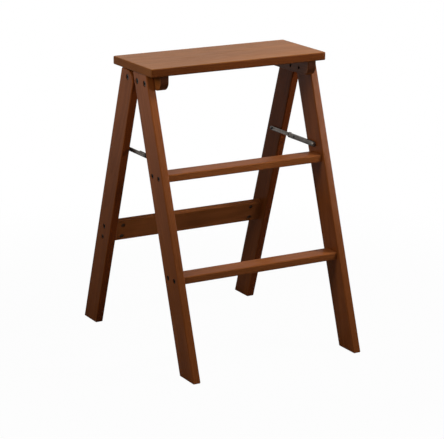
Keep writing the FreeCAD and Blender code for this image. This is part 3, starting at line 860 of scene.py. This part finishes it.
@dataclass
class Stay:
    """One folding stay: two punched links and the two halves of their rivet."""

    side: Side
    strip: float = 1.5 * MM
    end_distance: float = 6 * MM
    front_width: float = 11 * MM
    rear_width: float = 9 * MM
    hole: float = 4.1 * MM
    clearance: float = 0.05 * MM
    tab_length: float = 7 * MM
    corner: float = 2.5 * MM
    edge: float = 0.22 * MM
    rivet_edge: float = 0.05 * MM

    def _link(self, low: Vector, high: Vector, corner: float,
              holes: list[float]) -> bpy.types.Object:
        """Punch a flat link with rounded corners and round holes.

        Args:
            low: The link's lowest corner, in metres.
            high: Its highest corner, in metres.
            corner: The radius of its corners, in metres.
            holes: The holes' places along Y, in metres.

        Returns:
            The link.
        """
        link = block(low, high)
        bevel_edges(link, lambda start, end: abs(start.x - end.x) > 0.5 * self.strip,
                    corner, 10)
        middle = (low + high) / 2
        for place in holes:
            cutter = prism(self.hole, 4 * self.strip, 32)
            cutter.location = (middle.x, place, middle.z)
            bpy.context.view_layer.update()
            cut_with(link, cutter)
        return link

    def _finish(self, piece: bpy.types.Object, name: str, body: str,
                finish: bpy.types.Material, node: str) -> None:
        """Name a piece of the stay, put it on its body and let it stand for its node.

        Args:
            piece: The piece.
            name: Its name, without the side.
            body: The body it rides on.
            finish: Its material.
            node: The node that it stands for.
        """
        settle(piece, "%s_%s" % (name, self.side.word))
        piece.data.materials.clear()
        piece.data.materials.append(finish)
        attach(piece, body)
        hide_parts(node)
        log.info("%s stands for %s", piece.name, node)

    def build(self, strip_finish: bpy.types.Material, rivet_finish: bpy.types.Material) -> None:
        """Model the links and the rivet of this side.

        Args:
            strip_finish: The material of the links.
            rivet_finish: The material of the rivet.
        """
        word = self.side.word
        self._front_link(strip_finish, "stay_front_link_" + word)
        self._rear_link(strip_finish, "stay_rear_link_" + word)
        self._rivet(rivet_finish, "rivet_head_" + word, "stay_front_" + word)
        self._rivet(rivet_finish, "rivet_tail_" + word, "stay_rear_" + word)

    def _front_link(self, finish: bpy.types.Material, node: str) -> None:
        """Model the front link with its bent stop tab.

        Args:
            finish: The link's material.
            node: The node that it stands for.
        """
        low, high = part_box(node)
        inner = low.x if self.side is Side.RIGHT else high.x
        outer = inner + self.side.value * self.strip
        sides = sorted((inner, outer))
        top = low.z + self.front_width
        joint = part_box("rivet_head_" + self.side.word)
        holes = [low.y + self.end_distance, (joint[0].y + joint[1].y) / 2]
        link = self._link(Vector((sides[0], low.y, low.z)), Vector((sides[1], high.y, top)),
                          self.corner, holes)
        tab_end = high.y - self.corner
        tab = block((low.x, tab_end - self.tab_length, high.z - self.strip),
                    (high.x, tab_end, high.z))
        bend_width = 0.9 * self.strip
        bevel_edges(tab, lambda *ends: all(math.hypot(end.x - inner, end.z - high.z) < TINY
                                           for end in ends), bend_width, 5)
        cut_with(link, tab, "UNION")
        break_edges(link, self.edge)
        self._finish(link, "front_strip", "stay_front_" + self.side.word,
                     finish, node)

    def _rear_link(self, finish: bpy.types.Material, node: str) -> None:
        """Model the rear link, a strip with round ends.

        Args:
            finish: The link's material.
            node: The node that it stands for.
        """
        low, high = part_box(node)
        half = self.rear_width / 2
        end_radius = 0.98 * half
        link = self._link(low, high, end_radius, [low.y + half, high.y - half])
        break_edges(link, self.edge)
        self._finish(link, "rear_strip", "stay_rear_" + self.side.word,
                     finish, node)

    def _rivet(self, finish: bpy.types.Material, node: str, body: str) -> None:
        """Model one half of the rivet, domed where it shows.

        Args:
            finish: The rivet's material.
            node: The node that it stands for.
            body: The body that it rides on.
        """
        low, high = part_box(node)
        middle = (low + high) / 2
        radius = (high.z - low.z) / 2
        shank = self.hole / 2 - self.clearance
        thickness = high.x - low.x - self.strip
        dome = [(thickness * math.cos(turn), radius * math.sin(turn))
                for turn in quarter_turns(7)]
        half = turn_on_lathe(dome + [(0.0, shank), (-self.strip, shank), (-self.strip, 0.0)])
        break_edges(half, self.rivet_edge, 1)
        mark_turning(half)
        inward = node.startswith("rivet_head")
        seat = abs(low.x) if self.side is Side.RIGHT else abs(high.x)
        seat = seat + thickness if inward else seat + self.strip
        faces_right = (self.side is Side.RIGHT) != inward
        turn = Matrix.Rotation(0 if faces_right else math.pi, 4, "Z")
        half.data.transform(
            Matrix.Translation((self.side.value * seat, middle.y, middle.z)) @ turn)
        self._finish(half, "rivet_dome" if inward else "rivet_foot", body,
                     finish, node)


@dataclass
class StayScrews:
    """The pan-head screws that hold the stays to the legs, with a cross recess."""

    head: float = 7 * MM
    head_height: float = 2 * MM
    shank: float = 4 * MM
    recess: float = 4.4 * MM
    recess_depth: float = 1.2 * MM
    recess_taper: float = 0.55
    arm: float = 1.0 * MM
    edge: float = 0.08 * MM

    def pattern(self, length: float) -> bpy.types.Object:
        """Model one screw along X, with the underside of its head at the origin.

        Args:
            length: The screw's whole length, in metres.

        Returns:
            The screw.
        """
        head, shank, height = self.head / 2, self.shank / 2, self.head_height
        crown = [(height * (0.45 + 0.55 * math.cos(turn)), head * math.sin(turn))
                 for turn in quarter_turns(6)]
        tip = length - height
        screw = turn_on_lathe(crown + [(0.0, head), (0.0, shank), (2 * shank - tip, shank),
                                       (-tip, 0.0)])
        half, arm = self.recess / 2, self.arm / 2
        floor = height - self.recess_depth
        for turn in (0.0, math.pi / 2):
            cutter = block((floor, -half, -arm), (2 * height, half, arm))
            cutter.data.transform(Matrix.Rotation(turn, 4, "X"))
            self._taper(cutter, floor)
            cut_with(screw, cutter)
        break_edges(screw, self.edge)
        mark_turning(screw)
        return screw

    def _taper(self, cutter: bpy.types.Object, floor: float) -> None:
        """Narrow the floor of a recess towards its middle.

        Args:
            cutter: The recess's cutter.
            floor: The X place of its floor, in metres.
        """
        pick(cutter)
        bpy.ops.object.mode_set(mode="EDIT")
        bpy.ops.mesh.select_all(action="DESELECT")
        bpy.ops.object.mode_set(mode="OBJECT")
        for vertex in cutter.data.vertices:
            vertex.select = abs(vertex.co.x - floor) < TINY
        bpy.ops.object.mode_set(mode="EDIT")
        bpy.ops.transform.resize(value=(1, self.recess_taper, self.recess_taper),
                                 center_override=(floor, 0, 0))
        bpy.ops.object.mode_set(mode="OBJECT")

    def build(self, bright: bpy.types.Material, dark: bpy.types.Material) -> None:
        """Set the screws in the legs.

        Args:
            bright: The front screws' material.
            dark: The rear screws' material, a darker copy of the plating that is painted shade.
        """
        for node, name, body, finish in (
                ("stay_front_screws", "front_stay_screw_heads", Body.FRONT, bright),
                ("stay_rear_screws", "rear_stay_screw_heads", Body.REAR, dark)):
            boxes = solids_of(node)
            length = boxes[0][1].x - boxes[0][0].x
            seat = min(abs(boxes[0][0].x), abs(boxes[0][1].x)) + self.head_height
            flip = Matrix.Rotation(math.pi, 4, "Z")
            places = [facing_out(seat, box) @ flip for box in boxes]
            piece = set_copies(self.pattern(length), places, name)
            piece.data.materials.append(finish)
            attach(piece, body.value)
            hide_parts(node)
            log.info("%s: %d screws", name, len(boxes))


@dataclass
class Fittings:
    """Nuts, washers, spacers and cleat screws, which keep their shape."""

    def dress(self) -> None:
        """Give the small fittings their plating; the nuts' dark brown is painted shade."""
        # painted shade: the barrel nuts are made dark brown to stand for the shade in their
        # wells
        nuts = PlatedSteel(colour=(0.060, 0.030, 0.015), worn=(0.120, 0.075, 0.048), gloss=0.36)
        zinc = PlatedSteel(colour=(0.42, 0.43, 0.45), worn=(0.56, 0.56, 0.57), gloss=0.33)
        screws = PlatedSteel(colour=(0.36, 0.36, 0.37), worn=(0.50, 0.50, 0.51), gloss=0.36)
        finishes = {"nut_steel": nuts.material("nuts"),
                    "washer_steel": zinc.material("washers"),
                    "screw_steel": screws.material("cleat_screws")}
        for entry in frame["record"]["subparts"]:
            node = frame["nodes"][entry["node"]]
            finish = finishes.get(entry["material_slot"])
            if finish and not node.hide_render:
                node.data.materials.clear()
                node.data.materials.append(finish)
                log.info("%s dressed in %s", entry["node"], finish.name)


# The studio


@dataclass(frozen=True)
class Lamp:
    """One soft square lamp that looks at a point. Its spread is in degrees."""

    name: str
    place: Spot
    target: Spot
    size: float
    power: float
    spread: float = 180.0

    def hang(self) -> None:
        """Add the lamp to the scene."""
        data = bpy.data.lights.new(self.name, "AREA")
        data.shape = "SQUARE"
        data.size = self.size
        data.energy = self.power
        data.spread = math.radians(self.spread)
        lamp = bpy.data.objects.new(self.name, data)
        lamp.location = self.place
        aim = Vector(self.target) - Vector(self.place)
        lamp.rotation_euler = aim.to_track_quat("-Z", "Y").to_euler()
        bpy.context.scene.collection.objects.link(lamp)


@dataclass
class Studio:
    """The pale floor, the white backdrop, the lamps and the camera."""

    camera_place: Spot = (-1.9699, -3.4567, 1.3736)
    camera_heading: float = 29.762
    camera_pitch: float = -15.547
    camera_roll: float = 0.296
    image_width: float = 444.0
    focal_pixels: float = 1856.9
    sensor_width: float = 36.0
    ambient: float = 0.05
    floor_size: float = 12.0
    floor_gap: float = 0.5 * MM
    floor_tone: float = 0.35
    near_white: float = 0.975
    shadow_reach: float = 0.55
    white_reach: float = 1.3
    mirror_start: float = 0.4
    mirror_reach: float = 3.0

    def lamps(self) -> list[Lamp]:
        """List the lamps."""
        return [
            Lamp("key", (1.35, -0.72, 1.95), (0.0, -0.05, 0.40), 0.35, 26.0),
            Lamp("left_fill", (-0.95, -0.25, 1.05), (-0.15, -0.05, 0.48), 0.4, 4.6),
            Lamp("over", (0.10, -0.25, 1.60), (0.0, -0.1, 0.5), 0.35, 2.2),
            Lamp("front", (1.20, -1.60, 1.15), (0.1, -0.05, 0.68), 0.5, 0.75, 35.0),
            Lamp("back", (0.0, 0.95, 1.90), (0.0, 0.0, 0.45), 0.6, 4.0),
        ]

    def build(self) -> None:
        """Set up the whole studio."""
        self._camera()
        self._floor()
        self._backdrop()
        for lamp in self.lamps():
            lamp.hang()
        scene = bpy.context.scene
        scene.view_settings.view_transform = "Standard"
        log.info("studio ready, lens %.1f mm", scene.camera.data.lens)

    def _camera(self) -> None:
        """Set the camera to the photograph's view of the stool, with no lens shift."""
        data = bpy.data.cameras.new("camera")
        data.sensor_fit = "HORIZONTAL"
        data.sensor_width = self.sensor_width
        data.lens = self.focal_pixels / self.image_width * self.sensor_width
        camera = bpy.data.objects.new("camera", data)
        heading = Matrix.Rotation(-math.radians(self.camera_heading), 4, "Z")
        pitch = Matrix.Rotation(math.radians(90 + self.camera_pitch), 4, "X")
        roll = Matrix.Rotation(math.radians(self.camera_roll), 4, "Z")
        camera.matrix_world = Matrix.Translation(self.camera_place) @ heading @ pitch @ roll
        bpy.context.scene.collection.objects.link(camera)
        bpy.context.scene.camera = camera

    def _floor(self) -> None:
        """Lay a pale floor that keeps the stool's shadow and turns white further out."""
        deselect()
        bpy.ops.mesh.primitive_plane_add(size=self.floor_size,
                                         location=(0, 0, -self.floor_gap))
        floor = settle(bpy.context.active_object, "floor")
        bench = NodeBench(bpy.data.materials.new("pale_floor"))
        pale = bench.add("BsdfDiffuse", {"Color": (*[self.floor_tone] * 3, 1)})
        white = bench.add("Emission", {"Color": WHITE, "Strength": 1.0})
        place = bench.add("TexCoord").outputs["Object"]
        distance = bench.add("VectorMath", {0: place}, operation="LENGTH").outputs["Value"]
        camera, mirrored = bench.white_rays()
        plain = bench.level(distance, self.shadow_reach, self.white_reach, self.near_white, 1.0)
        far = bench.level(distance, self.mirror_start, self.mirror_reach)
        share = bench.calculate("MAXIMUM", bench.calculate("MULTIPLY", camera, plain),
                                bench.calculate("MULTIPLY", mirrored, far))
        mixed = bench.add("MixShader", {0: share, 1: pale.outputs[0], 2: white.outputs[0]})
        bench.add("OutputMaterial", {"Surface": mixed.outputs[0]})
        floor.data.materials.append(bench.owner)

    def _backdrop(self) -> None:
        """Make the world a dim soft light that looks white."""
        bench = NodeBench(bpy.data.worlds.new("studio"))
        bpy.context.scene.world = bench.owner
        white = bench.calculate("MAXIMUM", *bench.white_rays())
        strength = bench.add("MapRange", {"Value": white, "To Min": self.ambient, "To Max": 1.0})
        background = bench.add("Background", {"Color": WHITE, "Strength": strength.outputs[0]})
        bench.add("OutputWorld", {"Surface": background.outputs[0]})


def main() -> None:
    """Dress the stool, model its hardware, and set up the studio."""
    logging.basicConfig(level=logging.INFO, format="%(message)s")
    Studio().build()
    Timber().dress()
    Bolts().build()
    strip = PlatedSteel(colour=(0.104, 0.090, 0.079), worn=(0.154, 0.136, 0.121),
                        gloss=0.34, brushed=(900, 25, 900))
    # painted shade: the rivets and the rear screws get a dark copy of the plating, as they sit
    # in shade; the front screws keep a bright one
    dark = PlatedSteel(colour=(0.035, 0.034, 0.033), worn=(0.070, 0.068, 0.066),
                       gloss=0.30, turned=True)
    bright = PlatedSteel(colour=(0.30, 0.26, 0.22), worn=(0.42, 0.37, 0.32),
                         gloss=0.30, turned=True)
    strip_finish = strip.material("stay_strips")
    rivet_finish = dark.material("rivets")
    for side in Side:
        Stay(side).build(strip_finish, rivet_finish)
    StayScrews().build(bright.material("front_stay_screws"), dark.material("rear_stay_screws"))
    Fittings().dress()


if __name__ == "__main__":
    main()
